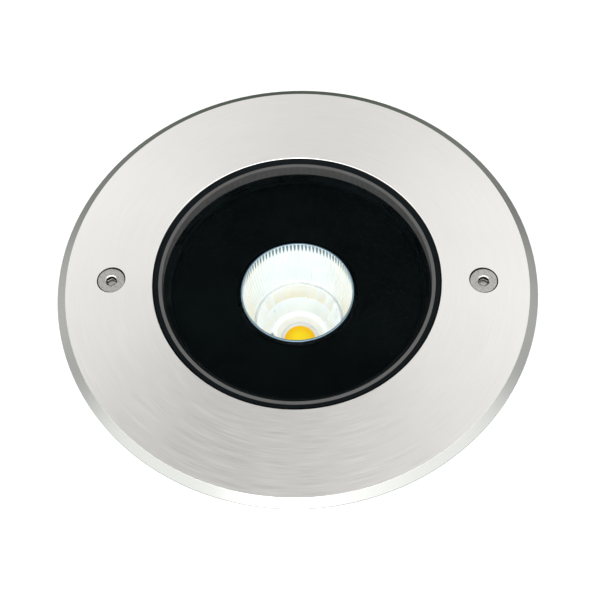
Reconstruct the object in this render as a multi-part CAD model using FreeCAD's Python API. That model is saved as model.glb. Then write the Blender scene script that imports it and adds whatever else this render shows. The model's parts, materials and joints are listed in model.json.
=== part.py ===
"""In-ground well light: a walk-over uplight in a ground sleeve, as separate pieces.

Millimetres, +Z up. The origin is the centre of the sleeve's foot. The trim ring lies on the paving at
GROUND_Z, everything under it is below ground, and the glass faces up. The lamp module tilts about X in
a yoke, and the yoke turns about Z on the housing's floor.
"""

import FreeCAD, Part
import math
import os

Vec = FreeCAD.Vector

# ---- ground sleeve -------------------------------------------------------------------------------
SLEEVE_HEIGHT = 199.5  # foot to top rim
SLEEVE_WALL = 3.0
SLEEVE_RIM_REACH = 7.0  # how far the top rim stands out of the wall
SLEEVE_RIM_THICKNESS = 3.0
DRAIN_RADIUS = 30.0  # hole in the foot
SHELF_THICKNESS = 3.0  # inner shelf that carries the luminaire
SHELF_CLEARANCE = 1.0
GUSSET_COUNT = 8
GUSSET_THICKNESS = 3.0
GUSSET_DROP = 16.0
RIB_COUNT = 12  # outside ribs that grip the ground
RIB_REACH = 5.0
RIB_THICKNESS = 3.0
RIB_BOTTOM = 8.0
RIB_TOP_GAP = 10.0
CONDUIT_RADIUS = 12.6  # bore for a 25 mm conduit
CONDUIT_WALL = 3.0
CONDUIT_REACH = 10.0  # spigot length outside the wall
CONDUIT_Z = 24.0
PLUG_CLEARANCE = 0.1
PLUG_WALL = 2.0
PLUG_HEAD = 2.5
INSERT_RADIUS = 4.5
INSERT_BORE = 3.2
INSERT_LENGTH = 20.0
LUG_WALL = 2.5  # plastic around the insert
LUG_GAP = 0.8  # housing's flange to the lugs
LUG_TO_WALL = 10.8  # screw circle to the outside of the wall
LUG_LENGTH = 42.0

# ---- trim ring -----------------------------------------------------------------------------------
RING_OVERLAP = 6.0  # ring past the sleeve's rim, on the paving
RING_SEAT_GAP = 0.5  # sleeve rim to the ring's seat, by height
PAVING_SEAT_GAP = 0.6  # sleeve rim to the ring's seat, by radius
UNDERSIDE_RELIEF = 0.4  # ring's underside inside its seat is this much higher
RING_BAND = 0.4  # plain edge under the bevel
BEVEL_WIDTH = 3.75
BEVEL_DROP = 2.6
FACE_RISE = 3.0  # the face climbs from the bevel to the opening, so that water runs off
OPENING_CLEARANCE = 0.4
EDGE_BREAK = 0.3
RECESS_GAP = 0.4  # ring to the clamp ring, above and beside it
FLANGE_SEAL_OUT = 3.0  # middle of the ring's seal outside the sleeve's wall
FLANGE_SEAL_WIDTH = 4.0
FLANGE_SEAL_THICKNESS = 1.7
FLANGE_SEAL_PROUD = 0.1

# ---- countersunk socket screws -------------------------------------------------------------------
TRIM_SCREW_LENGTH = 35.0
TRIM_SCREW = dict(head_r=6.0, shank_r=2.85, flats=4.0, socket=2.4, mouth=0.4)
SMALL_SCREW = dict(head_r=3.7, shank_r=1.95, flats=2.5, socket=1.4, mouth=0.2)
TINY_SCREW = dict(head_r=2.7, shank_r=1.45, flats=2.0, socket=1.0, mouth=0.15)
SCREW_SINK = 0.1  # heads lie this much under their surface
SCREW_MOUTH_GAP = 0.2  # straight mouth over the countersink
SCREW_HOLE_GAP = 0.25  # clearance hole to shank, and space past the tip

# ---- glass, sealant and gasket -------------------------------------------------------------------
GLASS_RADIUS = 58.9
GLASS_THICKNESS = 6.0
GLASS_RECESS = 1.0  # glass face under the ring's top
GLASS_CHAMFER = 1.0
SEALANT_WIDTH = 1.5
GASKET_WALL = 2.1  # rubber between sealant and ring
GASKET_RECESS = 0.2  # outer edge of the gasket under the ring's top
GASKET_SHOULDER = 1.7  # how far the clamped shoulder stands out
GASKET_LIP = 2.5  # rubber under the glass
GASKET_LIP_REACH = 3.4
GASKET_FIT = 0.2

# ---- clamp ring and housing ----------------------------------------------------------------------
CLAMP_THICKNESS = 2.8
CLAMP_RISE = 1.7  # clamp ring's top over the paving, inside the trim ring
CLAMP_SCREW_COUNT = 6
CLAMP_SCREW_LENGTH = 7.5
CLAMP_INSET = 0.3
FLANGE_WALL = 9.0  # metal outside the gasket
SEAT_FLOOR = 3.4  # metal under the gasket seat at the flange
CUP_WALL = 3.8
CUP_DEPTH = 8.0  # straight part of the cup under the flange
CUP_TAPER = 8.0
HOUSING_WALL = 4.0
CHAMBER_INSET = 2.9  # chamber's wall inside the glass's edge
SHELF_GAP = 0.4  # housing flange to the sleeve's shelf
FIN_COUNT = 24
FIN_REACH = 7.0
FIN_THICKNESS = 2.2
FIN_TOP_GAP = 2.0
FIN_BOTTOM_GAP = 5.0
MID_FLOOR = 5.0
GEAR_CHAMBER = 30.0  # height of the driver's chamber

# ---- baffle --------------------------------------------------------------------------------------
BAFFLE_THICKNESS = 1.2
BAFFLE_HOLE = 26.8
BAFFLE_REBATE = 1.9  # how far its edge reaches into the housing's wall
BAFFLE_LEVEL = 2.0  # flat edge inside the wall before it slopes
BAFFLE_UNDER_RIM = 1.5  # its hole lies this much under the reflector's rim

# ---- lamp module ---------------------------------------------------------------------------------
RIM_GAP = 4.7  # glass to the reflector's rim, for the rise of the rim at full tilt
RIM_RADIUS = 24.2
RIM_REACH = 0.8
RIM_THICKNESS = 0.9
REFLECTOR_WALL = 0.7
FLUTE_DEPTH = 27.0  # height of the fluted upper stage
FLUTE_END_RADIUS = 20.0
LEDGE_RADIUS = 19.0  # the lower stage starts here
LEDGE_DROP = 1.2
BOWL_DEPTH = 14.0  # height of the faceted lower stage
THROAT_RADIUS = 13.4
STAGE_BULGE = 0.9  # how far each stage bows out of a straight cone
TILT_DEPTH = 8.0  # tilt axis under the rim
TILT_RANGE = 10.0
HOLDER_RADIUS = 18.5
HOLDER_THICKNESS = 5.5
HOLDER_MOUTH = 11.0
HOLDER_HOLE = 9.2
HOLDER_SCREW_CIRCLE = 14.9
HOLDER_SCREW_LENGTH = 8.0
HOLDER_SCREW_SUNK = 1.4  # under the face that the lower reflector stands on
LED_PLATE = 19.0
LED_PLATE_THICKNESS = 1.5
LED_PLATE_FIT = 0.2
PAD_THICKNESS = 0.5
EMITTER_RADIUS = 7.25
EMITTER_THICKNESS = 0.6
DAM_WIDTH = 0.8
SINK_RADIUS = 34.0
SINK_PLATE = 5.0
SINK_HEIGHT = 30.0
SINK_FIN_THICKNESS = 1.6
SINK_FIN_PITCH = 5.2
SINK_FIN_INSET = 2.0  # fins stop this far inside the plate's edge
BRACKET_THICKNESS = 1.5
BRACKET_WIDTH = 10.0
BRACKET_SIDE_GAP = 0.2
BRACKET_SCREW_CIRCLE = 27.0
BRACKET_SCREW_LENGTH = 5.5
BRACKET_SCREW_COUNT = 4
PIN_RADIUS = 2.5
PIN_FIT = 0.06  # radial, pin in the yoke
PIN_HEAD_RADIUS = 4.5
PIN_HEAD = 2.4
PIN_SOCKET = 3.0
PIN_SOCKET_DEPTH = 1.4
PIN_NUT_FLATS = 8.0
PIN_NUT = 3.0
WASHER_THICKNESS = 0.8
WASHER_RADIUS = 4.8
SIDE_GAP = 0.4  # washer to yoke, and yoke to pin head

# ---- yoke and its hub ----------------------------------------------------------------------------
YOKE_THICKNESS = 2.5
YOKE_WIDTH = 11.0
YOKE_DISC = 22.0
SWEEP_GAP = 1.6  # hub's flange under the lowest point of the tilted heat sink
PAN_WASHER = 1.5
PAN_WASHER_RADIUS = 18.0
PAN_GAP = 0.4
HUB_RADIUS = 8.0
HUB_BORE = 4.5
HUB_FIT = 0.08
HUB_FLANGE = 2.0
HUB_FLANGE_RADIUS = 11.0
HUB_NUT_FLATS = 20.0
HUB_NUT = 4.0
STOP_RADIUS = 1.6  # pressed stops on floor and yoke, which meet just past the pan's range
STOP_CIRCLE = 20.2
STOP_HEIGHT = 1.2

# ---- driver, terminals and leads -----------------------------------------------------------------
DRIVER = (56.0, 28.0, 22.0)
DRIVER_Y = 27.5
DRIVER_EAR = 6.0
DRIVER_EAR_WIDTH = 9.6
DRIVER_EAR_THICKNESS = 2.5
DRIVER_SCREW_LENGTH = 6.0
DRIVER_ROUND = 2.5
TERMINAL = (30.0, 15.0, 16.0)
TERMINAL_Y = -30.0
TERMINAL_WAYS = 3
TERMINAL_MOUTH = 2.4
TERMINAL_MOUTH_DEPTH = 3.75
TERMINAL_SCREW = 1.9
TERMINAL_SCREW_SUNK = 1.9
SLOT_WIDTH = 0.5
SLOT_DEPTH = 0.7
LEAD_RADIUS = 0.9
LEAD_FIT = 0.15
LEAD_BEND = 4.5
LEAD_PITCH = 4.0
LEAD_DIP = 5.0
EARTH_PLACE = (44.0, -11.0)
EARTH_HEAD_RADIUS = 3.8
EARTH_HEAD = 2.6
EARTH_RADIUS = 2.0
EARTH_REACH = 4.0

# ---- bottom cover, gland and vent ----------------------------------------------------------------
COVER_THICKNESS = 5.0
COVER_GASKET = 1.0
COVER_SCREW_INSET = 6.5  # screws inside the chamber's wall
COVER_SCREW_COUNT = 4
COVER_SCREW_LENGTH = 14.0
BOSS_RADIUS = 4.6
BOSS_LENGTH = 18.0
GLAND_FLATS = 24.0
GLAND_HEX = 5.0
GLAND_STEM_RADIUS = 9.9
GLAND_STEM_PROUD = 0.6  # stem past the locknut
GLAND_BORE = 6.6
GLAND_LOCKNUT = 5.0
GLAND_NUT_LENGTH = 16.0
GLAND_NUT_FLATS = 8.8  # length of its flats
GLAND_NUT_WIDE = 14.4  # radius that its corners are turned to
GLAND_NUT_SHOULDER = 1.0  # height between its flats and its cone
GLAND_NUT_GAP = 0.3
GLAND_SEAL_LENGTH = 11.0
GLAND_SEAL_DEPTH = 3.2  # seal's top under the hexagon
CABLE_BORE = 4.25  # hole in the gland's seal, for the supply cable
NUT_WALL = 2.6
GLAND_WASHER = 1.5
VENT_X = -32.0
VENT_FLATS = 14.0
VENT_HEX = 5.0
VENT_STEM_RADIUS = 5.9
VENT_STEM_PROUD = 2.0
VENT_BORE = 1.5
VENT_SEAL = 1.0
STEM_GAP = 0.15

# ---- places worked out from the sizes ------------------------------------------------------------
GROUND_Z = SLEEVE_HEIGHT + RING_SEAT_GAP
FACE_EDGE_Z = GROUND_Z + RING_BAND + BEVEL_DROP
TOP_Z = FACE_EDGE_Z + FACE_RISE
SEALANT_RADIUS = GLASS_RADIUS + SEALANT_WIDTH
GASKET_RADIUS = SEALANT_RADIUS + GASKET_WALL
OPENING_RADIUS = GASKET_RADIUS + OPENING_CLEARANCE
GLASS_TOP_Z = TOP_Z - GLASS_RECESS
GLASS_UNDER_Z = GLASS_TOP_Z - GLASS_THICKNESS
SEAT_Z = GLASS_UNDER_Z - GASKET_LIP
SHOULDER_RADIUS = GASKET_RADIUS + GASKET_SHOULDER
SEAT_RADIUS = SHOULDER_RADIUS + GASKET_FIT
CLAMP_TOP_Z = GROUND_Z + CLAMP_RISE
FLANGE_TOP_Z = CLAMP_TOP_Z - CLAMP_THICKNESS
FLANGE_RADIUS = SEAT_RADIUS + FLANGE_WALL
CLAMP_RADIUS = FLANGE_RADIUS - CLAMP_INSET
CLAMP_SCREW_CIRCLE = (SEAT_RADIUS + CLAMP_RADIUS) / 2
FLANGE_UNDER_Z = SEAT_Z - SEAT_FLOOR
CUP_RADIUS = SEAT_RADIUS + CUP_WALL
CHAMBER_RADIUS = GLASS_RADIUS - CHAMBER_INSET
BODY_RADIUS = CHAMBER_RADIUS + HOUSING_WALL
WALL_MIDDLE = CHAMBER_RADIUS + HOUSING_WALL / 2
BAFFLE_EDGE = CHAMBER_RADIUS + BAFFLE_REBATE
RIM_Z = GLASS_UNDER_Z - RIM_GAP
TILT_Z = RIM_Z - TILT_DEPTH
LEDGE_Z = RIM_Z - FLUTE_DEPTH
BOWL_TOP_Z = LEDGE_Z - LEDGE_DROP
HOLDER_TOP_Z = BOWL_TOP_Z - BOWL_DEPTH
SINK_TOP_Z = HOLDER_TOP_Z - HOLDER_THICKNESS
SINK_UNDER_Z = SINK_TOP_Z - SINK_HEIGHT
BRACKET_TOP_Z = SINK_TOP_Z + BRACKET_THICKNESS
LED_TOP_Z = SINK_TOP_Z + PAD_THICKNESS + LED_PLATE_THICKNESS
LEAD_OUT_Z = SINK_TOP_Z + HOLDER_THICKNESS / 2 + LEAD_RADIUS
ARM_INNER = SINK_RADIUS + BRACKET_SIDE_GAP
ARM_OUTER = ARM_INNER + BRACKET_THICKNESS
YOKE_INNER = ARM_OUTER + WASHER_THICKNESS + SIDE_GAP
YOKE_OUTER = YOKE_INNER + YOKE_THICKNESS
SWEEP_DEPTH = math.hypot(TILT_Z - SINK_UNDER_Z, SINK_RADIUS)
SWEEP_ANGLE = math.atan2(SINK_RADIUS, TILT_Z - SINK_UNDER_Z)
SWEEP_LOW = SWEEP_DEPTH * math.cos(max(SWEEP_ANGLE - math.radians(TILT_RANGE), 0))
YOKE_TOP_Z = TILT_Z - SWEEP_LOW - SWEEP_GAP - HUB_FLANGE
YOKE_UNDER_Z = YOKE_TOP_Z - YOKE_THICKNESS
FLOOR_TOP_Z = YOKE_UNDER_Z - PAN_GAP - PAN_WASHER
FLOOR_UNDER_Z = FLOOR_TOP_Z - MID_FLOOR
HOUSING_UNDER_Z = FLOOR_UNDER_Z - GEAR_CHAMBER
COVER_TOP_Z = HOUSING_UNDER_Z - COVER_GASKET
COVER_UNDER_Z = COVER_TOP_Z - COVER_THICKNESS
HUB_NUT_TOP_Z = FLOOR_UNDER_Z - PAN_GAP
HUB_UNDER_Z = HUB_NUT_TOP_Z - HUB_NUT
DRIVER_UNDER_Z = FLOOR_UNDER_Z - DRIVER[2]
SHELF_TOP_Z = FLANGE_UNDER_Z - SHELF_GAP
SHELF_RADIUS = CUP_RADIUS + SHELF_CLEARANCE
LUG_RADIUS = INSERT_RADIUS + LUG_WALL
TRIM_SCREW_CIRCLE = FLANGE_RADIUS + LUG_GAP + LUG_RADIUS
SLEEVE_RADIUS = TRIM_SCREW_CIRCLE + LUG_TO_WALL
SLEEVE_BORE = SLEEVE_RADIUS - SLEEVE_WALL
RING_RADIUS = SLEEVE_RADIUS + SLEEVE_RIM_REACH + RING_OVERLAP
FACE_EDGE_RADIUS = RING_RADIUS - BEVEL_WIDTH
FLANGE_SEAL_RADIUS = SLEEVE_RADIUS + FLANGE_SEAL_OUT
PAVING_SEAT_RADIUS = SLEEVE_RADIUS + SLEEVE_RIM_REACH + PAVING_SEAT_GAP
COVER_SCREW_CIRCLE = CHAMBER_RADIUS - COVER_SCREW_INSET
SPIGOT_END = SLEEVE_RADIUS + CONDUIT_REACH
SPIGOT_RADIUS = CONDUIT_RADIUS + CONDUIT_WALL
GLAND_SHOULDER_Z = COVER_UNDER_Z - GLAND_WASHER
GLAND_HEX_Z = GLAND_SHOULDER_Z - GLAND_HEX
GLAND_SEAL_Z = GLAND_HEX_Z - GLAND_SEAL_DEPTH
NUT_BORE = GLAND_FLATS / 2 - NUT_WALL
NUT_MOUTH = CABLE_BORE + NUT_WALL / 2
PAST = 1.0  # how far a cutting shape runs past the surface it cuts


def face_height(radius):
    """Height of the ring's sloping face at a radius."""
    share = (FACE_EDGE_RADIUS - radius) / (FACE_EDGE_RADIUS - OPENING_RADIUS)
    return FACE_EDGE_Z + FACE_RISE * share


# ---- shape helpers -------------------------------------------------------------------------------
def turned(outline):
    """Solid of revolution about Z from a closed outline of (radius, height) points or edges."""
    if isinstance(outline[0], tuple):
        corners = [Vec(r, 0, z) for r, z in outline]
        wire = Part.makePolygon(corners + corners[:1])
    else:
        wire = Part.Wire(outline)
    return Part.Face(wire).revolve(Vec(0, 0, 0), Vec(0, 0, 1), 360)


def line(a, b):
    return Part.LineSegment(Vec(a[0], 0, a[1]), Vec(b[0], 0, b[1])).toShape()


def arc(a, middle, b):
    points = [Vec(p[0], 0, p[1]) for p in (a, middle, b)]
    return Part.Arc(*points).toShape()


def rod(radius, low, high, x=0.0, y=0.0):
    return Part.makeCylinder(radius, high - low, Vec(x, y, low))


def tube(outer, inner, low, high):
    return rod(outer, low, high).cut(rod(inner, low - PAST, high + PAST))


def rod_x(radius, start, end, z):
    """Cylinder along X over y = 0, between two places on X."""
    direction = Vec(math.copysign(1, end - start), 0, 0)
    return Part.makeCylinder(radius, abs(end - start), Vec(start, 0, z), direction)


def block(size, centre, low):
    """Box of a size, centred in plan on (x, y), standing on a height."""
    corner = Vec(centre[0] - size[0] / 2, centre[1] - size[1] / 2, low)
    return Part.makeBox(size[0], size[1], size[2], corner)


def hexagon(flats, low, high, x=0.0, y=0.0):
    radius = flats / math.sqrt(3)
    corners = []
    for i in range(6):
        turn = math.radians(60 * i + 30)
        corners.append(Vec(x + radius * math.cos(turn), y + radius * math.sin(turn), low))
    return Part.Face(Part.makePolygon(corners + corners[:1])).extrude(Vec(0, 0, high - low))


def turned_about(shape, degrees):
    copy = shape.copy()
    copy.rotate(Vec(0, 0, 0), Vec(0, 0, 1), degrees)
    return copy


def around(shape, count, first=0.0):
    """Copies of a shape spaced evenly about Z."""
    return [turned_about(shape, first + 360.0 * i / count) for i in range(count)]


def moved(shape, x, y, z):
    copy = shape.copy()
    copy.translate(Vec(x, y, z))
    return copy


def on_side(shape, side):
    """A shape made along +Z, laid along +X or -X."""
    copy = shape.copy()
    copy.rotate(Vec(0, 0, 0), Vec(0, 1, 0), 90 * side)
    return copy


def upside_down(shape):
    copy = shape.copy()
    copy.rotate(Vec(0, 0, 0), Vec(1, 0, 0), 180)
    return copy


def fused(shape, others):
    return shape.multiFuse(others).removeSplitter()


def cut_all(shape, tools):
    return shape.cut(Part.makeCompound(tools))


def screw(kind, length):
    """Countersunk socket screw, its head's flat at height 0, pointing down.

    The cone that opens the socket's mouth also leaves a small drill point in its floor.
    """
    edge = EDGE_BREAK / 2
    body = turned([
        (0, 0),
        (kind["head_r"] - edge, 0),
        (kind["head_r"], -edge),
        (kind["shank_r"], -edge - kind["head_r"] + kind["shank_r"]),
        (kind["shank_r"], EDGE_BREAK - length),
        (kind["shank_r"] - EDGE_BREAK, -length),
        (0, -length),
    ])
    mouth = kind["flats"] / math.sqrt(3) + kind["mouth"]
    chamfer = turned([(0, PAST), (mouth + PAST, PAST), (0, -mouth)])
    return cut_all(body, [hexagon(kind["flats"], -kind["socket"], PAST), chamfer])


def screw_hole(kind, grip, length, above):
    """What is cut away for a screw: countersink, clearance hole through the grip, tapped hole past it."""
    cone = kind["head_r"] + EDGE_BREAK / 2
    mouth = kind["head_r"] + SCREW_MOUTH_GAP
    hole = kind["shank_r"] + SCREW_HOLE_GAP
    end = length + SCREW_HOLE_GAP
    return turned([
        (0, above),
        (mouth, above),
        (mouth, mouth - cone),
        (hole, hole - cone),
        (hole, -grip),
        (kind["shank_r"], -grip),
        (kind["shank_r"], -end),
        (0, -end),
    ])


def lead(route):
    """Round wire along straight runs joined by tangent arcs. Prints its volume against its length."""
    points = [Vec(*p) for p in route]
    edges = []
    start = points[0]
    for before, corner, after in zip(points, points[1:], points[2:]):
        back = (before - corner).normalize()
        on = (after - corner).normalize()
        half = back.getAngle(on) / 2
        reach = LEAD_BEND / math.tan(half)
        first = corner + back * reach
        last = corner + on * reach
        centre = corner + (back + on).normalize() * (LEAD_BEND / math.sin(half))
        middle = centre + (corner - centre).normalize() * LEAD_BEND
        edges.append(Part.LineSegment(start, first).toShape())
        edges.append(Part.Arc(first, middle, last).toShape())
        start = last
    edges.append(Part.LineSegment(start, points[-1]).toShape())
    length = sum(e.Length for e in edges)
    ring = Part.Circle(points[0], points[1] - points[0], LEAD_RADIUS).toShape()
    solid = Part.Wire(edges).makePipeShell([Part.Wire(ring)], True, True)
    ratio = solid.Volume / (math.pi * LEAD_RADIUS**2 * length)
    print(f"lead of {length:.1f} mm, bend radius {LEAD_BEND}, volume over section by length {ratio:.4f}")
    return solid


# ---- ground sleeve -------------------------------------------------------------------------------
def sleeve():
    middle = SLEEVE_RADIUS - SLEEVE_WALL / 2
    foot = tube(SLEEVE_RADIUS, DRAIN_RADIUS, 0, SLEEVE_WALL)
    wall = tube(SLEEVE_RADIUS, SLEEVE_BORE, 0, SLEEVE_HEIGHT)
    rim_low = SLEEVE_HEIGHT - SLEEVE_RIM_THICKNESS
    rim = tube(SLEEVE_RADIUS + SLEEVE_RIM_REACH, SLEEVE_BORE, rim_low, SLEEVE_HEIGHT)
    shelf_low = SHELF_TOP_Z - SHELF_THICKNESS
    shelf = tube(middle, SHELF_RADIUS, shelf_low, SHELF_TOP_Z)
    rib_reach = SLEEVE_WALL / 2 + RIB_REACH
    rib_size = (rib_reach, RIB_THICKNESS, SLEEVE_HEIGHT - RIB_TOP_GAP - RIB_BOTTOM)
    rib = block(rib_size, (middle + rib_reach / 2, 0), RIB_BOTTOM)
    parts = [wall, rim, shelf]
    parts += around(rib, RIB_COUNT, 180.0 / RIB_COUNT)
    parts += around(gusset(shelf_low), GUSSET_COUNT, 180.0 / GUSSET_COUNT)
    holes = []
    for side in (1, -1):
        x = side * TRIM_SCREW_CIRCLE
        end = side * SPIGOT_END
        parts.append(lug(side))
        parts.append(rod_x(SPIGOT_RADIUS, side * middle, end, CONDUIT_Z))
        holes.append(rod_x(CONDUIT_RADIUS, side * (SLEEVE_BORE - SPIGOT_RADIUS), end + side * PAST, CONDUIT_Z))
        holes.append(rod(INSERT_RADIUS, SLEEVE_HEIGHT - INSERT_LENGTH, SLEEVE_HEIGHT + PAST, x))
        holes.append(rod(INSERT_BORE, SLEEVE_HEIGHT - LUG_LENGTH + LUG_WALL, SLEEVE_HEIGHT, x))
    return cut_all(fused(foot, parts), holes)


def gusset(top):
    """Triangular web under the shelf."""
    outer = SLEEVE_RADIUS - SLEEVE_WALL / 2
    inner = SHELF_RADIUS + SHELF_THICKNESS
    corners = [(inner, top), (outer, top), (outer, top - GUSSET_DROP)]
    points = [Vec(r, -GUSSET_THICKNESS / 2, z) for r, z in corners]
    face = Part.Face(Part.makePolygon(points + points[:1]))
    return face.extrude(Vec(0, GUSSET_THICKNESS, 0))


def lug(side):
    """Screw lug: a round post with a web to the wall, from the rim down past the shelf."""
    low = SLEEVE_HEIGHT - LUG_LENGTH
    middle = SLEEVE_RADIUS - SLEEVE_WALL / 2
    post = rod(LUG_RADIUS, low, SLEEVE_HEIGHT, side * TRIM_SCREW_CIRCLE)
    web_size = (middle - TRIM_SCREW_CIRCLE, 2 * LUG_RADIUS, LUG_LENGTH)
    web = block(web_size, (side * (TRIM_SCREW_CIRCLE + middle) / 2, 0), low)
    return post.fuse(web).common(rod(middle, low, SLEEVE_HEIGHT))


def conduit_plug():
    """Blanking plug in the conduit entry at -X, a cap with a hollow stem."""
    stem = CONDUIT_REACH + PLUG_WALL
    outer = CONDUIT_RADIUS - PLUG_CLEARANCE
    cup = rod(outer, -stem, 0).cut(rod(outer - PLUG_WALL, -stem - PAST, -PLUG_WALL))
    head = rod(SPIGOT_RADIUS, 0, PLUG_HEAD)
    slot = block((SPIGOT_RADIUS * 2, PLUG_WALL, PLUG_HEAD), (0, 0), PLUG_HEAD / 2)
    return moved(on_side(cup.fuse(head).cut(slot), -1), -SPIGOT_END, 0, CONDUIT_Z)


def sleeve_inserts():
    insert = tube(INSERT_RADIUS, INSERT_BORE, SLEEVE_HEIGHT - INSERT_LENGTH, SLEEVE_HEIGHT)
    return [moved(insert, side * TRIM_SCREW_CIRCLE, 0, 0) for side in (1, -1)]


# ---- trim ring -----------------------------------------------------------------------------------
def trim_ring():
    recess_radius = FLANGE_RADIUS + RECESS_GAP
    recess_z = CLAMP_TOP_Z + RECESS_GAP
    inner_edge = OPENING_RADIUS + EDGE_BREAK
    under_z = GROUND_Z + UNDERSIDE_RELIEF
    groove_z = GROUND_Z + FLANGE_SEAL_THICKNESS - FLANGE_SEAL_PROUD
    groove_outer = FLANGE_SEAL_RADIUS + FLANGE_SEAL_WIDTH / 2
    groove_inner = FLANGE_SEAL_RADIUS - FLANGE_SEAL_WIDTH / 2
    ring = turned([
        (OPENING_RADIUS, recess_z),
        (recess_radius, recess_z),
        (recess_radius, under_z),
        (groove_inner, under_z),
        (groove_inner, groove_z),
        (groove_outer, groove_z),
        (groove_outer, under_z),
        (PAVING_SEAT_RADIUS, under_z),
        (PAVING_SEAT_RADIUS, GROUND_Z),
        (RING_RADIUS, GROUND_Z),
        (RING_RADIUS, GROUND_Z + RING_BAND),
        (FACE_EDGE_RADIUS, FACE_EDGE_Z),
        (inner_edge, face_height(inner_edge)),
        (OPENING_RADIUS, TOP_Z - EDGE_BREAK),
    ])
    hole = screw_hole(TRIM_SCREW, TRIM_SCREW_LENGTH, TRIM_SCREW_LENGTH, FACE_RISE)
    return cut_all(ring, in_trim(hole))


def in_trim(shape):
    """Heads lie flush with the sloping face at their outer, lower side."""
    z = face_height(TRIM_SCREW_CIRCLE + TRIM_SCREW["head_r"]) - SCREW_SINK
    return [moved(shape, side * TRIM_SCREW_CIRCLE, 0, z) for side in (1, -1)]


def trim_screws():
    return in_trim(screw(TRIM_SCREW, TRIM_SCREW_LENGTH))


def flange_seal():
    low = GROUND_Z - FLANGE_SEAL_PROUD
    half = FLANGE_SEAL_WIDTH / 2
    return tube(FLANGE_SEAL_RADIUS + half, FLANGE_SEAL_RADIUS - half, low, low + FLANGE_SEAL_THICKNESS)


# ---- glass ---------------------------------------------------------------------------------------
def glass():
    return turned([
        (0, GLASS_UNDER_Z),
        (GLASS_RADIUS, GLASS_UNDER_Z),
        (GLASS_RADIUS, GLASS_TOP_Z - GLASS_CHAMFER),
        (GLASS_RADIUS - GLASS_CHAMFER, GLASS_TOP_Z),
        (0, GLASS_TOP_Z),
    ])


def glass_sealant():
    """Silicone bead between the glass's edge and the gasket."""
    return tube(SEALANT_RADIUS, GLASS_RADIUS, GLASS_UNDER_Z, GLASS_TOP_Z)


def glass_gasket():
    """Rubber ring of L section: a wall round the glass, a clamped shoulder and a lip under it."""
    return turned([
        (GLASS_RADIUS - GASKET_LIP_REACH, SEAT_Z),
        (SHOULDER_RADIUS, SEAT_Z),
        (SHOULDER_RADIUS, FLANGE_TOP_Z),
        (GASKET_RADIUS, FLANGE_TOP_Z),
        (GASKET_RADIUS, TOP_Z - GASKET_RECESS),
        (SEALANT_RADIUS, GLASS_TOP_Z),
        (SEALANT_RADIUS, GLASS_UNDER_Z),
        (GLASS_RADIUS - GASKET_LIP_REACH, GLASS_UNDER_Z),
    ])


def clamp_ring():
    inner = GASKET_RADIUS + GASKET_FIT
    ring = turned([
        (inner, FLANGE_TOP_Z),
        (CLAMP_RADIUS, FLANGE_TOP_Z),
        (CLAMP_RADIUS, CLAMP_TOP_Z - EDGE_BREAK),
        (CLAMP_RADIUS - EDGE_BREAK, CLAMP_TOP_Z),
        (inner, CLAMP_TOP_Z),
    ])
    return cut_all(ring, clamp_holes())


def in_clamp(shape):
    placed = moved(shape, CLAMP_SCREW_CIRCLE, 0, CLAMP_TOP_Z - SCREW_SINK)
    return around(placed, CLAMP_SCREW_COUNT, 180.0 / CLAMP_SCREW_COUNT)


def clamp_holes():
    return in_clamp(screw_hole(SMALL_SCREW, CLAMP_THICKNESS - SCREW_SINK, CLAMP_SCREW_LENGTH, PAST))


def clamp_screws():
    return in_clamp(screw(SMALL_SCREW, CLAMP_SCREW_LENGTH))


# ---- housing -------------------------------------------------------------------------------------
def housing():
    """Cast body: flange and seat for the glass, finned wall, and a floor between its chambers."""
    cup_low = FLANGE_UNDER_Z - CUP_DEPTH
    taper_low = cup_low - CUP_TAPER
    shell = turned([
        (CHAMBER_RADIUS, HOUSING_UNDER_Z),
        (BODY_RADIUS, HOUSING_UNDER_Z),
        (BODY_RADIUS, taper_low),
        (CUP_RADIUS, cup_low),
        (CUP_RADIUS, FLANGE_UNDER_Z),
        (FLANGE_RADIUS, FLANGE_UNDER_Z),
        (FLANGE_RADIUS, FLANGE_TOP_Z),
        (SEAT_RADIUS, FLANGE_TOP_Z),
        (SEAT_RADIUS, SEAT_Z),
        (BAFFLE_EDGE, SEAT_Z),
        (BAFFLE_EDGE, SEAT_Z - BAFFLE_THICKNESS),
        (CHAMBER_RADIUS, SEAT_Z - BAFFLE_THICKNESS),
    ])
    floor = rod(WALL_MIDDLE, FLOOR_UNDER_Z, FLOOR_TOP_Z)
    stop = rod(STOP_RADIUS, FLOOR_UNDER_Z, FLOOR_TOP_Z + STOP_HEIGHT, 0, -STOP_CIRCLE)
    fin_low = HOUSING_UNDER_Z + FIN_BOTTOM_GAP
    fin_reach = HOUSING_WALL / 2 + FIN_REACH
    fin_size = (fin_reach, FIN_THICKNESS, taper_low - FIN_TOP_GAP - fin_low)
    fin = block(fin_size, (WALL_MIDDLE + fin_reach / 2, 0), fin_low)
    parts = [floor, stop]
    parts += around(fin, FIN_COUNT, 180.0 / FIN_COUNT)
    parts += cover_tabs(HOUSING_UNDER_Z, HOUSING_UNDER_Z + BOSS_LENGTH)
    holes = clamp_holes() + cover_holes() + driver_holes() + [earth_shank()]
    holes.append(rod(HUB_RADIUS + HUB_FIT, FLOOR_UNDER_Z - PAST, FLOOR_TOP_Z + PAST))
    return cut_all(fused(shell, parts), holes)


def cover_tabs(low, high):
    """Round bosses joined to the wall, where the cover's screws go."""
    reach = WALL_MIDDLE - COVER_SCREW_CIRCLE
    post = rod(BOSS_RADIUS, low, high, COVER_SCREW_CIRCLE)
    web = block((reach, BOSS_RADIUS, high - low), (WALL_MIDDLE - reach / 2, 0), low)
    return around(post.fuse(web), COVER_SCREW_COUNT, 180.0 / COVER_SCREW_COUNT)


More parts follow.
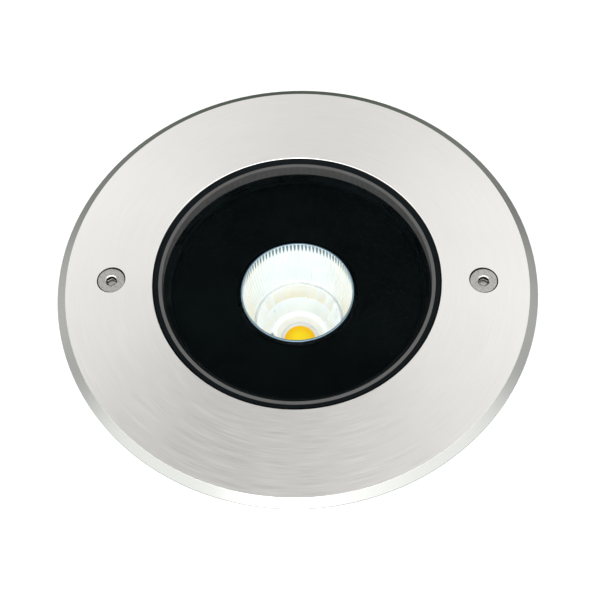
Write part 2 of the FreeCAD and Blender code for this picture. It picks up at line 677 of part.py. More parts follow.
def baffle():
    """Black shallow cone round the lamp, its edge held under the gasket's lip."""
    bend = CHAMBER_RADIUS - BAFFLE_LEVEL
    hole_z = RIM_Z - BAFFLE_UNDER_RIM
    return turned([
        (BAFFLE_EDGE, SEAT_Z),
        (bend, SEAT_Z),
        (BAFFLE_HOLE, hole_z),
        (BAFFLE_HOLE, hole_z - BAFFLE_THICKNESS),
        (bend, SEAT_Z - BAFFLE_THICKNESS),
        (BAFFLE_EDGE, SEAT_Z - BAFFLE_THICKNESS),
    ])


# ---- optic ---------------------------------------------------------------------------------------
def bowed(low, high):
    """Middle point of a stage's arc, which bows outwards."""
    return ((low[0] + high[0]) / 2 + STAGE_BULGE, (low[1] + high[1]) / 2)


def upper_reflector():
    """Bowed stage under a turned-out rim, standing on the lower one's ledge."""
    high = (RIM_RADIUS, RIM_Z)
    low = (FLUTE_END_RADIUS, LEDGE_Z)
    outer_high = (RIM_RADIUS + REFLECTOR_WALL, RIM_Z - RIM_THICKNESS)
    outer_low = (FLUTE_END_RADIUS + REFLECTOR_WALL, LEDGE_Z)
    rim_end = RIM_RADIUS + RIM_REACH
    return turned([
        arc(low, bowed(low, high), high),
        line(high, (rim_end, RIM_Z)),
        line((rim_end, RIM_Z), (rim_end, RIM_Z - RIM_THICKNESS)),
        line((rim_end, RIM_Z - RIM_THICKNESS), outer_high),
        arc(outer_high, bowed(outer_low, outer_high), outer_low),
        line(outer_low, low),
    ])


def lower_reflector():
    """Bowed bowl with a ledge round its mouth, standing on the LED holder."""
    high = (LEDGE_RADIUS, BOWL_TOP_Z)
    low = (THROAT_RADIUS, HOLDER_TOP_Z)
    ledge_end = FLUTE_END_RADIUS + REFLECTOR_WALL
    outer_high = (LEDGE_RADIUS + REFLECTOR_WALL, BOWL_TOP_Z)
    outer_low = (THROAT_RADIUS + REFLECTOR_WALL, HOLDER_TOP_Z)
    return turned([
        arc(low, bowed(low, high), high),
        line(high, (LEDGE_RADIUS, LEDGE_Z)),
        line((LEDGE_RADIUS, LEDGE_Z), (ledge_end, LEDGE_Z)),
        line((ledge_end, LEDGE_Z), (ledge_end, BOWL_TOP_Z)),
        line((ledge_end, BOWL_TOP_Z), outer_high),
        arc(outer_high, bowed(outer_low, outer_high), outer_low),
        line(outer_low, low),
    ])


def led_holder():
    """White ring that presses the LED plate down, with a cone round the emitter."""
    ring = turned([
        (HOLDER_HOLE, SINK_TOP_Z),
        (HOLDER_RADIUS, SINK_TOP_Z),
        (HOLDER_RADIUS, HOLDER_TOP_Z - EDGE_BREAK),
        (HOLDER_RADIUS - EDGE_BREAK, HOLDER_TOP_Z),
        (HOLDER_MOUTH, HOLDER_TOP_Z),
        (HOLDER_HOLE, LED_TOP_Z + EMITTER_THICKNESS),
    ])
    side = LED_PLATE + 2 * LED_PLATE_FIT
    pocket = block((side, side, LED_TOP_Z - SINK_TOP_Z), (0, 0), SINK_TOP_Z)
    mouth = rod_x(LEAD_RADIUS + LEAD_FIT, HOLDER_RADIUS - 2 * LEAD_RADIUS, HOLDER_RADIUS + PAST, LEAD_OUT_Z)
    mouths = [turned_about(moved(mouth, 0, y, 0), 90) for y in (LEAD_PITCH, -LEAD_PITCH)]
    return cut_all(ring, holder_holes() + [pocket] + mouths)


def in_holder(shape):
    """Holder screws lie on X, clear of the leads."""
    return around(moved(shape, HOLDER_SCREW_CIRCLE, 0, HOLDER_TOP_Z - HOLDER_SCREW_SUNK), 2)


def holder_screws():
    return in_holder(screw(TINY_SCREW, HOLDER_SCREW_LENGTH))


def holder_holes():
    grip = HOLDER_THICKNESS - HOLDER_SCREW_SUNK
    return in_holder(screw_hole(TINY_SCREW, grip, HOLDER_SCREW_LENGTH, HOLDER_SCREW_SUNK + PAST))


def thermal_pad():
    return block((LED_PLATE, LED_PLATE, PAD_THICKNESS), (0, 0), SINK_TOP_Z)


def led_plate():
    plate = block((LED_PLATE, LED_PLATE, LED_PLATE_THICKNESS), (0, 0), SINK_TOP_Z + PAD_THICKNESS)
    dam = tube(EMITTER_RADIUS + DAM_WIDTH, EMITTER_RADIUS, LED_TOP_Z, LED_TOP_Z + EMITTER_THICKNESS)
    return plate.fuse(dam).removeSplitter()


def led_emitter():
    return rod(EMITTER_RADIUS, LED_TOP_Z, LED_TOP_Z + EMITTER_THICKNESS)


# ---- heat sink and bracket -----------------------------------------------------------------------
def heat_sink():
    """Round plate with straight fins under it, trimmed to a circle."""
    plate_low = SINK_TOP_Z - SINK_PLATE
    reach = SINK_RADIUS - SINK_FIN_INSET
    count = int(2 * reach / SINK_FIN_PITCH) + 1
    size = (SINK_FIN_THICKNESS, 2 * SINK_RADIUS, SINK_HEIGHT)
    within = rod(reach, SINK_UNDER_Z, plate_low + SINK_PLATE / 2)
    fins = []
    for i in range(count):
        x = (i - (count - 1) / 2) * SINK_FIN_PITCH
        fins.append(block(size, (x, 0), SINK_UNDER_Z).common(within))
    body = fused(rod(SINK_RADIUS, plate_low, SINK_TOP_Z), fins)
    return cut_all(body, holder_holes() + bracket_holes())


def lamp_bracket():
    """Ring on the heat sink with an arm up each side to the tilt axis."""
    ring = tube(SINK_RADIUS, HOLDER_RADIUS + BRACKET_SIDE_GAP, SINK_TOP_Z, BRACKET_TOP_Z)
    parts = []
    for side in (1, -1):
        foot_reach = ARM_OUTER - BRACKET_SCREW_CIRCLE
        foot_middle = side * (ARM_OUTER - foot_reach / 2)
        parts.append(block((foot_reach, BRACKET_WIDTH, BRACKET_THICKNESS), (foot_middle, 0), SINK_TOP_Z))
        size = (BRACKET_THICKNESS, BRACKET_WIDTH, TILT_Z - SINK_TOP_Z)
        parts.append(block(size, (side * (ARM_INNER + ARM_OUTER) / 2, 0), SINK_TOP_Z))
        parts.append(rod_x(BRACKET_WIDTH / 2, side * ARM_INNER, side * ARM_OUTER, TILT_Z))
    pin_hole = rod_x(PIN_RADIUS, -ARM_OUTER - PAST, ARM_OUTER + PAST, TILT_Z)
    return cut_all(fused(ring, parts), bracket_holes() + [pin_hole])


def in_bracket(shape):
    placed = moved(shape, BRACKET_SCREW_CIRCLE, 0, BRACKET_TOP_Z - SCREW_SINK)
    return around(placed, BRACKET_SCREW_COUNT, 180.0 / BRACKET_SCREW_COUNT)


def bracket_screws():
    return in_bracket(screw(TINY_SCREW, BRACKET_SCREW_LENGTH))


def bracket_holes():
    return in_bracket(screw_hole(TINY_SCREW, BRACKET_THICKNESS - SCREW_SINK, BRACKET_SCREW_LENGTH, PAST))


def tilt_pins():
    """Shoulder screws through yoke and bracket, heads outside the yoke."""
    pins = []
    for side in (1, -1):
        head_in = YOKE_OUTER + SIDE_GAP
        head_out = head_in + PIN_HEAD
        shank = rod_x(PIN_RADIUS, side * (ARM_INNER - PIN_NUT), side * head_in, TILT_Z)
        head = rod_x(PIN_HEAD_RADIUS, side * head_in, side * head_out, TILT_Z)
        socket = on_side(hexagon(PIN_SOCKET, -PIN_SOCKET_DEPTH, PAST), side)
        pins.append(shank.fuse(head).removeSplitter().cut(moved(socket, side * head_out, 0, TILT_Z)))
    return pins


def tilt_washers():
    washers = []
    for side in (1, -1):
        end = ARM_OUTER + WASHER_THICKNESS
        disc = rod_x(WASHER_RADIUS, side * ARM_OUTER, side * end, TILT_Z)
        washers.append(disc.cut(rod_x(PIN_RADIUS, side * (ARM_OUTER - PAST), side * (end + PAST), TILT_Z)))
    return washers


def pin_nuts():
    nut = hexagon(PIN_NUT_FLATS, 0, PIN_NUT).cut(rod(PIN_RADIUS, -PAST, PIN_NUT + PAST))
    return [moved(on_side(nut, side), side * (ARM_INNER - PIN_NUT), 0, TILT_Z) for side in (1, -1)]


# ---- yoke and hub --------------------------------------------------------------------------------
def yoke():
    """U-shaped strap: a disc over the floor's washer and two arms up to the tilt pins."""
    disc = rod(YOKE_DISC, YOKE_UNDER_Z, YOKE_TOP_Z)
    parts = [block((2 * YOKE_OUTER, YOKE_WIDTH, YOKE_THICKNESS), (0, 0), YOKE_UNDER_Z)]
    parts.append(rod(STOP_RADIUS, YOKE_UNDER_Z - STOP_HEIGHT, YOKE_TOP_Z, 0, STOP_CIRCLE))
    for side in (1, -1):
        size = (YOKE_THICKNESS, YOKE_WIDTH, TILT_Z - YOKE_UNDER_Z)
        parts.append(block(size, (side * (YOKE_INNER + YOKE_OUTER) / 2, 0), YOKE_UNDER_Z))
        parts.append(rod_x(YOKE_WIDTH / 2, side * YOKE_INNER, side * YOKE_OUTER, TILT_Z))
    pin_hole = rod_x(PIN_RADIUS + PIN_FIT, -YOKE_OUTER - PAST, YOKE_OUTER + PAST, TILT_Z)
    return cut_all(fused(disc, parts), [pin_hole, rod(HUB_RADIUS, YOKE_UNDER_Z - PAST, YOKE_TOP_Z + PAST)])


def pan_hub():
    """Hollow bolt that the yoke turns on, bored for the lamp's leads."""
    high = YOKE_TOP_Z + HUB_FLANGE
    body = rod(HUB_FLANGE_RADIUS, YOKE_TOP_Z, high).fuse(rod(HUB_RADIUS, HUB_UNDER_Z, YOKE_TOP_Z))
    return body.removeSplitter().cut(rod(HUB_BORE, HUB_UNDER_Z - PAST, high + PAST))


def hub_nut():
    nut = hexagon(HUB_NUT_FLATS, HUB_UNDER_Z, HUB_NUT_TOP_Z)
    return nut.cut(rod(HUB_RADIUS, HUB_UNDER_Z - PAST, HUB_NUT_TOP_Z + PAST))


def pan_washer():
    return tube(PAN_WASHER_RADIUS, HUB_RADIUS + HUB_FIT, FLOOR_TOP_Z, FLOOR_TOP_Z + PAN_WASHER)


# ---- driver chamber ------------------------------------------------------------------------------
def led_driver():
    """Potted driver with an ear at each end, hung under the floor."""
    case = block(DRIVER, (0, DRIVER_Y), DRIVER_UNDER_Z)
    case = case.makeFillet(DRIVER_ROUND, [e for e in case.Edges if upright(e)])
    ears_size = (DRIVER[0] + 2 * DRIVER_EAR, DRIVER_EAR_WIDTH, DRIVER_EAR_THICKNESS)
    ears = block(ears_size, (0, DRIVER_Y), FLOOR_UNDER_Z - DRIVER_EAR_THICKNESS)
    return cut_all(case.fuse(ears).removeSplitter(), driver_holes())


def upright(edge):
    return edge.BoundBox.XLength + edge.BoundBox.YLength < edge.BoundBox.ZLength


def in_driver_ears(shape):
    x = DRIVER[0] / 2 + DRIVER_EAR / 2
    z = FLOOR_UNDER_Z - DRIVER_EAR_THICKNESS + SCREW_SINK
    return [moved(upside_down(shape), side * x, DRIVER_Y, z) for side in (1, -1)]


def driver_screws():
    return in_driver_ears(screw(TINY_SCREW, DRIVER_SCREW_LENGTH))


def driver_holes():
    grip = DRIVER_EAR_THICKNESS - SCREW_SINK
    return in_driver_ears(screw_hole(TINY_SCREW, grip, DRIVER_SCREW_LENGTH, PAST))


def terminal_ways():
    pitch = TERMINAL[0] / TERMINAL_WAYS
    return [(i - (TERMINAL_WAYS - 1) / 2) * pitch for i in range(TERMINAL_WAYS)]


def terminal_block():
    low = FLOOR_UNDER_Z - TERMINAL[2]
    half = TERMINAL[1] / 2
    holes = []
    for x in terminal_ways():
        for side in (1, -1):
            mouth = Vec(x, TERMINAL_Y + side * (half + PAST), low + TERMINAL[2] / 2)
            depth = TERMINAL_MOUTH_DEPTH + PAST
            holes.append(Part.makeCylinder(TERMINAL_MOUTH, depth, mouth, Vec(0, -side, 0)))
        holes.append(rod(TERMINAL_SCREW, low - PAST, terminal_screw_top(), x, TERMINAL_Y))
    return cut_all(block(TERMINAL, (0, TERMINAL_Y), low), holes)


def terminal_screw_top():
    return FLOOR_UNDER_Z - TERMINAL[2] + TERMINAL_SCREW_SUNK + TERMINAL_SCREW


def terminal_screws():
    low = terminal_screw_top() - TERMINAL_SCREW
    screws = []
    for x in terminal_ways():
        slot_size = (TERMINAL_SCREW * 3, SLOT_WIDTH, SLOT_DEPTH + PAST)
        slot = block(slot_size, (x, TERMINAL_Y), low - PAST)
        screws.append(rod(TERMINAL_SCREW, low, terminal_screw_top(), x, TERMINAL_Y).cut(slot))
    return screws


def supply_leads():
    """Leads from the two outer terminals, with a dip under the hub's nut, into the driver's side."""
    z = FLOOR_UNDER_Z - TERMINAL[2] / 2
    face = TERMINAL_Y + TERMINAL[1] / 2
    dip = face + 2 * LEAD_BEND
    end = DRIVER_Y - DRIVER[1] / 2
    leads = []
    for x in (terminal_ways()[0], terminal_ways()[-1]):
        start = (x, face - TERMINAL_MOUTH_DEPTH, z)
        leads.append(lead([start, (x, dip, z), (x, dip + LEAD_DIP, z - LEAD_DIP), (x, end, z - LEAD_DIP)]))
    return leads


def driver_leads():
    """Leads from the driver's side to the middle and up into the hub's bore."""
    z = DRIVER_UNDER_Z + LEAD_BEND
    leads = []
    for x in (LEAD_PITCH / 2, -LEAD_PITCH / 2):
        leads.append(lead([(x, DRIVER_Y - DRIVER[1] / 2, z), (x, 0, z), (x, 0, YOKE_UNDER_Z)]))
    return leads


def lamp_leads():
    """Leads from the LED holder out past the bracket and down beside the heat sink."""
    out = SINK_RADIUS + 2 * LEAD_RADIUS
    start = HOLDER_RADIUS - 2 * LEAD_RADIUS
    leads = []
    for x in (LEAD_PITCH, -LEAD_PITCH):
        leads.append(lead([(x, start, LEAD_OUT_Z), (x, out, LEAD_OUT_Z), (x, out, SINK_UNDER_Z + LEAD_BEND)]))
    return leads


def earth_screw():
    """Pan head screw for the earth lead, under the floor."""
    head = rod(EARTH_HEAD_RADIUS, FLOOR_UNDER_Z - EARTH_HEAD, FLOOR_UNDER_Z, *EARTH_PLACE)
    return head.fuse(earth_shank()).removeSplitter()


def earth_shank():
    return rod(EARTH_RADIUS, FLOOR_UNDER_Z, FLOOR_UNDER_Z + EARTH_REACH, *EARTH_PLACE)


# ---- bottom cover, gland and vent ----------------------------------------------------------------
def in_cover(shape):
    placed = moved(upside_down(shape), COVER_SCREW_CIRCLE, 0, COVER_UNDER_Z + SCREW_SINK)
    return around(placed, COVER_SCREW_COUNT, 180.0 / COVER_SCREW_COUNT)


def cover_holes():
    grip = COVER_THICKNESS + COVER_GASKET - SCREW_SINK
    return in_cover(screw_hole(SMALL_SCREW, grip, COVER_SCREW_LENGTH, PAST))


def cover_screws():
    return in_cover(screw(SMALL_SCREW, COVER_SCREW_LENGTH))


def bottom_cover():
    plate = turned([
        (0, COVER_UNDER_Z),
        (BODY_RADIUS - 2 * EDGE_BREAK, COVER_UNDER_Z),
        (BODY_RADIUS, COVER_UNDER_Z + 2 * EDGE_BREAK),
        (BODY_RADIUS, COVER_TOP_Z),
        (0, COVER_TOP_Z),
    ])
    gland_hole = rod(GLAND_STEM_RADIUS + STEM_GAP, COVER_UNDER_Z - PAST, COVER_TOP_Z + PAST)
    vent_hole = rod(VENT_STEM_RADIUS + STEM_GAP, COVER_UNDER_Z - PAST, COVER_TOP_Z + PAST, VENT_X)
    return cut_all(plate, cover_holes() + [gland_hole, vent_hole])


def cover_gasket():
    """Flat seal between cover and wall, with tabs round the screws."""
    ring = tube(BODY_RADIUS, CHAMBER_RADIUS, COVER_TOP_Z, HOUSING_UNDER_Z)
    return cut_all(fused(ring, cover_tabs(COVER_TOP_Z, HOUSING_UNDER_Z)), cover_holes())


def gland_washer():
    return tube(GLAND_FLATS / 2, GLAND_STEM_RADIUS + STEM_GAP, GLAND_SHOULDER_Z, COVER_UNDER_Z)


def gland_body():
    """Hexagon under the cover, a stem up through it and a shorter one down into the cap nut."""
    stem_top = COVER_TOP_Z + GLAND_LOCKNUT + GLAND_STEM_PROUD
    stem = rod(GLAND_STEM_RADIUS, GLAND_SHOULDER_Z, stem_top)
    lower = rod(NUT_BORE, GLAND_SEAL_Z, GLAND_HEX_Z)
    body = fused(hexagon(GLAND_FLATS, GLAND_HEX_Z, GLAND_SHOULDER_Z), [stem, lower])
    return body.cut(rod(GLAND_BORE, GLAND_SEAL_Z - PAST, stem_top + PAST))


def gland_locknut():
    high = COVER_TOP_Z + GLAND_LOCKNUT
    return hexagon(GLAND_FLATS, COVER_TOP_Z, high).cut(rod(GLAND_STEM_RADIUS, COVER_TOP_Z - PAST, high + PAST))


def gland_nut():
    """Domed cap nut: six flats above, a round mouth below."""
    top = GLAND_HEX_Z - GLAND_NUT_GAP
    low = GLAND_HEX_Z - GLAND_NUT_LENGTH
    flats_low = GLAND_HEX_Z - GLAND_NUT_FLATS
    dome = turned([
        (0, top),
        (GLAND_NUT_WIDE, top),
        (GLAND_NUT_WIDE, flats_low),
        (GLAND_FLATS / 2, flats_low - GLAND_NUT_SHOULDER),
        (NUT_MOUTH + NUT_WALL, low),
        (0, low),
    ])
    cavity = turned([
        (0, top + PAST),
        (NUT_BORE, top + PAST),
        (NUT_BORE, flats_low),
        (NUT_MOUTH, low + NUT_WALL / 2),
        (NUT_MOUTH, low - PAST),
        (0, low - PAST),
    ])
    return dome.common(hexagon(GLAND_FLATS, low, top)).cut(cavity)


def gland_seal():
    """Rubber cone between the stem and the cap nut, bored for the supply cable."""
    wide = NUT_BORE - STEM_GAP
    return turned([
        (CABLE_BORE, GLAND_SEAL_Z - GLAND_SEAL_LENGTH),
        (NUT_MOUTH - STEM_GAP, GLAND_SEAL_Z - GLAND_SEAL_LENGTH),
        (wide, GLAND_HEX_Z - GLAND_NUT_FLATS),
        (wide, GLAND_SEAL_Z),
        (CABLE_BORE, GLAND_SEAL_Z),
    ])


def vent_plug():
    """Breather that evens out the pressure in the housing."""
    shoulder = COVER_UNDER_Z - VENT_SEAL
    stem_top = COVER_TOP_Z + VENT_STEM_PROUD
    cap = hexagon(VENT_FLATS, shoulder - VENT_HEX, shoulder, VENT_X)
    body = cap.fuse(rod(VENT_STEM_RADIUS, shoulder, stem_top, VENT_X)).removeSplitter()
    return body.cut(rod(VENT_BORE, shoulder - VENT_HEX - PAST, stem_top + PAST, VENT_X))


def vent_seal():
    ring = tube(VENT_FLATS / 2, VENT_STEM_RADIUS + STEM_GAP, COVER_UNDER_Z - VENT_SEAL, COVER_UNDER_Z)
    return moved(ring, VENT_X, 0, 0)


NODES = [
    sleeve, sleeve_inserts, conduit_plug,
    trim_ring, trim_screws, flange_seal,
    housing, glass, glass_sealant, glass_gasket, clamp_ring, clamp_screws, baffle, pan_washer,
    led_driver, driver_screws, terminal_block, terminal_screws, supply_leads, driver_leads, earth_screw,
    bottom_cover, cover_gasket, cover_screws,
    gland_washer, gland_body, gland_locknut, gland_nut, gland_seal, vent_plug, vent_seal,
    yoke, pan_hub, hub_nut,
    upper_reflector, lower_reflector, led_holder, holder_screws, thermal_pad, led_plate, led_emitter,
    heat_sink, lamp_bracket, bracket_screws, tilt_pins, tilt_washers, pin_nuts, lamp_leads,
]


def main():
    os.makedirs("parts", exist_ok=True)
    for make in NODES:
        name = make.__name__
        made = make()
        shape = Part.makeCompound(made) if isinstance(made, list) else made
        good = shape.isValid() and all(s.Volume > 0 for s in shape.Solids)
        print(f"{name}: {len(shape.Solids)} solid(s), {shape.Volume:.0f} mm3, {'ok' if good else 'BAD'}")
        shape.exportStep(f"parts/{name}.step")


main()
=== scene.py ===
"""Looks of an in-ground well light: finishes, reflector, stage and camera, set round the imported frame.

Metres, +Z up, in the frame's own coordinates. The paving's surface is at the trim ring's underside, and
the ground sleeve stands in a hole under it.
"""

import bmesh
import bpy
import json
import math
from bpy.props import FloatProperty, FloatVectorProperty, IntProperty, PointerProperty
from mathutils import Matrix, Vector


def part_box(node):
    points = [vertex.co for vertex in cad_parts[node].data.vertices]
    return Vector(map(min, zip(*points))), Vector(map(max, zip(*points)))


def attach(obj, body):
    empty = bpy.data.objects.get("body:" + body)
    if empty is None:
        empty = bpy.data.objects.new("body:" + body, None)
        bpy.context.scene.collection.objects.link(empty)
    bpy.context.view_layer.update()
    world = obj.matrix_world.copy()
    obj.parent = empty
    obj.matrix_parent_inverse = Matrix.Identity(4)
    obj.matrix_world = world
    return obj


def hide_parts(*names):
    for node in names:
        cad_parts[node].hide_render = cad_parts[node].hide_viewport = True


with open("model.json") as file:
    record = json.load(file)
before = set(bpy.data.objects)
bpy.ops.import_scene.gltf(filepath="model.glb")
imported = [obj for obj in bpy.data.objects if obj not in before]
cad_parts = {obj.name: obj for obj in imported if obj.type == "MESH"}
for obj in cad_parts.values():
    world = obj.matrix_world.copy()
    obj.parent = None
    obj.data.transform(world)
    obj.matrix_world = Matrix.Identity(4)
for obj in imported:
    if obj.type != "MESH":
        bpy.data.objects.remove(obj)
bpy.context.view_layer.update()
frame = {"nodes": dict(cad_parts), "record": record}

bl_info = {
    "name": "In-Ground Well Light",
    "version": (1, 0, 0),
    "blender": (4, 5, 0),
    "location": "View3D > Sidebar > Well Light",
    "description": "Dresses the frame of an in-ground well light and sets its stage",
    "category": "Object",
}

FULL_TURN = 2 * math.pi

# Places read from the frame
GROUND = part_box("trim_ring")[0].z
RIM_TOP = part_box("upper_reflector")[1]
LEDGE_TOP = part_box("lower_reflector")[1]
GLASS_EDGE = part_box("glass")[1].y
LED_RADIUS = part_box("led_emitter")[1].y
HEAD_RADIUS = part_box("trim_screws")[1].y
HEAD_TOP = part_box("trim_screws")[1].z
TRIM_SCREW_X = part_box("trim_screws")[1].x - HEAD_RADIUS

# Places inside a node, which its box doesn't give. The part's source has the same values.
BEVEL_START = 0.10125
OPENING = 0.0629
FACE_EDGE_HEIGHT = 0.003
SOCKET_DEPTH = 0.0024

# Reflector's mesh, and where its duller finishes start
FLUTE_SIDES = 6
HOLLOW_STEPS = 3
OUTER_STEPS = 8
FLUTE_MARGIN = 0.015  # share of the height that stays plain at each end
LIP_WIDTH = 0.0007
LEDGE_START = 0.01905  # just outside the ledge's inner edge

# Colours that several finishes share, or that have no setting
# Near-black steel for painted shade: the ring's opening edge and screw seats, and the screws' rims and
# sockets
PAINTED_SHADE_STEEL = (0.014, 0.016, 0.014)
# Edge tint that dims grazing reflections on the ring's bevel and in the screws' dark places: painted shade
GRAZING_SHADE_TINT = (0.02, 0.06, 0.02)
WORN_MARK = (0.12, 0.12, 0.11)
GLASS_RIM = (0.12, 0.14, 0.14)
PLAIN_BACK = (0.03, 0.032, 0.034)
FLUTED_LIP = (0.16, 0.25, 0.31)
LEDGE_FACE = (0.66, 0.68, 0.64)

STRIP = (1.0, 1.0, 0.05)  # rolled strip and extrusions, drawn out along Z

# Stage
HOLE_GAP = 0.0005
HOLE_DEPTH = 0.06
FLOOR_STEPS = 160
WHITE_SHARE = 0.7  # of the paving, where the camera, metal or glass looks at it
SENSOR = 36.0  # mm, the camera's long side
NEAR_CLIP = 0.01

# Key lamp: name, level, size in metres, direction from the ring, distance
KEY_BOX = ("key_box", 3.0, 0.7, (-0.1, -0.8, 0.95), 1.5)

# Soft glows round the ring: level, direction, angle of its full level, angle where it ends.
# One below nought is a shade.
GLOWS = [
    (0.75, (0.6, 0.4, 0.69), 12, 40),
    (0.85, (-0.65, 0.5, 0.57), 12, 40),
    (0.5, (0.0, 0.94, 0.34), 10, 45),
    (0.3, (0.24, 0.46, 0.85), 4, 16),
    (0.22, (-0.3, 0.52, 0.8), 4, 14),
    (-0.2, (-0.18, 0.26, 0.95), 3, 14),
    (1.15, (0.1, -0.4, 0.91), 12, 34),
    (2.5, (-0.6, -0.6, 0.53), 20, 50),
    (2.5, (0.6, -0.6, 0.53), 20, 50),
    (0.75, (-0.9, 0.4, 0.15), 10, 30),
    (0.7, (0.9, 0.4, 0.15), 10, 30),
]


# ---- settings ------------------------------------------------------------------------------------
class WellOpticSettings(bpy.types.PropertyGroup):
    flutes: IntProperty(
        name="Flutes", description="Flutes round the upper reflector", default=90, min=24, max=240)
    flute_depth: FloatProperty(
        name="Flute depth", description="Depth of one flute", default=0.00036, unit="LENGTH")
    flute_rows: IntProperty(
        name="Hollow rows", description="Rows of hollows up each flute", default=20, min=1, max=60)
    row_depth: FloatProperty(
        name="Hollow depth", description="Depth of a hollow along its flute", default=0.00008, unit="LENGTH")
    columns: IntProperty(
        name="Facet columns", description="Facets round the lower bowl", default=22, min=8, max=60)
    rows: IntProperty(
        name="Facet rows", description="Facets from its mouth to its throat", default=2, min=1, max=10)
    rim_reach: FloatProperty(
        name="Rim reach", description="Width of the turned-out rim", default=0.0008, unit="LENGTH")
    rim_thickness: FloatProperty(
        name="Rim thickness", description="Height of the rim's edge", default=0.0009, unit="LENGTH")
    wall: FloatProperty(
        name="Wall", description="Thickness of both reflectors", default=0.0007, unit="LENGTH")
    bulge: FloatProperty(
        name="Bulge", description="How far a stage bows out of a cone", default=0.0009, unit="LENGTH")
    ledge: FloatProperty(
        name="Ledge", description="Radius inside the ledge between the stages", default=0.019, unit="LENGTH")
    ledge_drop: FloatProperty(
        name="Ledge drop", description="Height of the ledge", default=0.0012, unit="LENGTH")
    throat: FloatProperty(
        name="Throat", description="Radius of the lower bowl's foot", default=0.0134, unit="LENGTH")


class WellFinishSettings(bpy.types.PropertyGroup):
    steel: FloatVectorProperty(
        name="Ring steel", description="Satin steel of the ring's face", subtype="COLOR",
        default=(0.76, 0.745, 0.72), min=0, max=1)
    # The bevel's steel is darker than the face: painted shade, standing for the dark surroundings the bevel
    # reflects at the back
    shaded_bevel_steel: FloatVectorProperty(
        name="Bevel steel", description="Machined steel of the ring's bevel", subtype="COLOR",
        default=(0.285, 0.29, 0.278), min=0, max=1)
    sealant: FloatVectorProperty(
        name="Sealant", description="Bead between glass and gasket", subtype="COLOR",
        default=(0.045, 0.045, 0.044), min=0, max=1)
    black: FloatVectorProperty(
        name="Baffle", description="Black plate round the reflector", subtype="COLOR",
        default=(0.0012, 0.0016, 0.0018), min=0, max=1)
    mirror: FloatVectorProperty(
        name="Reflector", description="Bright metal of the reflector", subtype="COLOR",
        default=(0.93, 0.98, 1.0), min=0, max=1)
    phosphor: FloatVectorProperty(
        name="Phosphor", description="Yellow disc of the LED", subtype="COLOR",
        default=(1.0, 0.71, 0.008), min=0, max=1)
    casting: FloatVectorProperty(
        name="Castings", description="Powder coat of housing and cover", subtype="COLOR",
        default=(0.115, 0.12, 0.125), min=0, max=1)
    pot: FloatVectorProperty(
        name="Ground sleeve", description="Moulded plastic of the sleeve", subtype="COLOR",
        default=(0.022, 0.023, 0.024), min=0, max=1)


class WellStageSettings(bpy.types.PropertyGroup):
    distance: FloatProperty(name="Distance", description="Camera to the ring", default=0.70875, unit="LENGTH")
    elevation: FloatProperty(
        name="Elevation", description="Camera's height as an angle", default=math.radians(59.98),
        subtype="ANGLE")
    azimuth: FloatProperty(
        name="Azimuth", description="Camera's turn about the light", default=math.radians(3.65),
        subtype="ANGLE")
    yaw: FloatProperty(
        name="Yaw", description="Aim off the ring's middle", default=math.radians(-0.075), subtype="ANGLE")
    pitch: FloatProperty(
        name="Pitch", description="Aim under the ring's middle", default=math.radians(-0.65), subtype="ANGLE")
    roll: FloatProperty(
        name="Roll", description="Camera's lean", default=math.radians(3.13), subtype="ANGLE")
    lens: FloatProperty(name="Lens", description="Focal length in millimetres", default=97.41)
    floor_size: FloatProperty(name="Floor", description="Radius of the paving", default=7.0, unit="LENGTH")
    floor_shade: FloatProperty(
        name="Floor shade", description="Paleness of the paving", default=0.8, min=0, max=1)
    sky: FloatProperty(name="Surroundings", description="Level of the light all round", default=0.355, min=0)


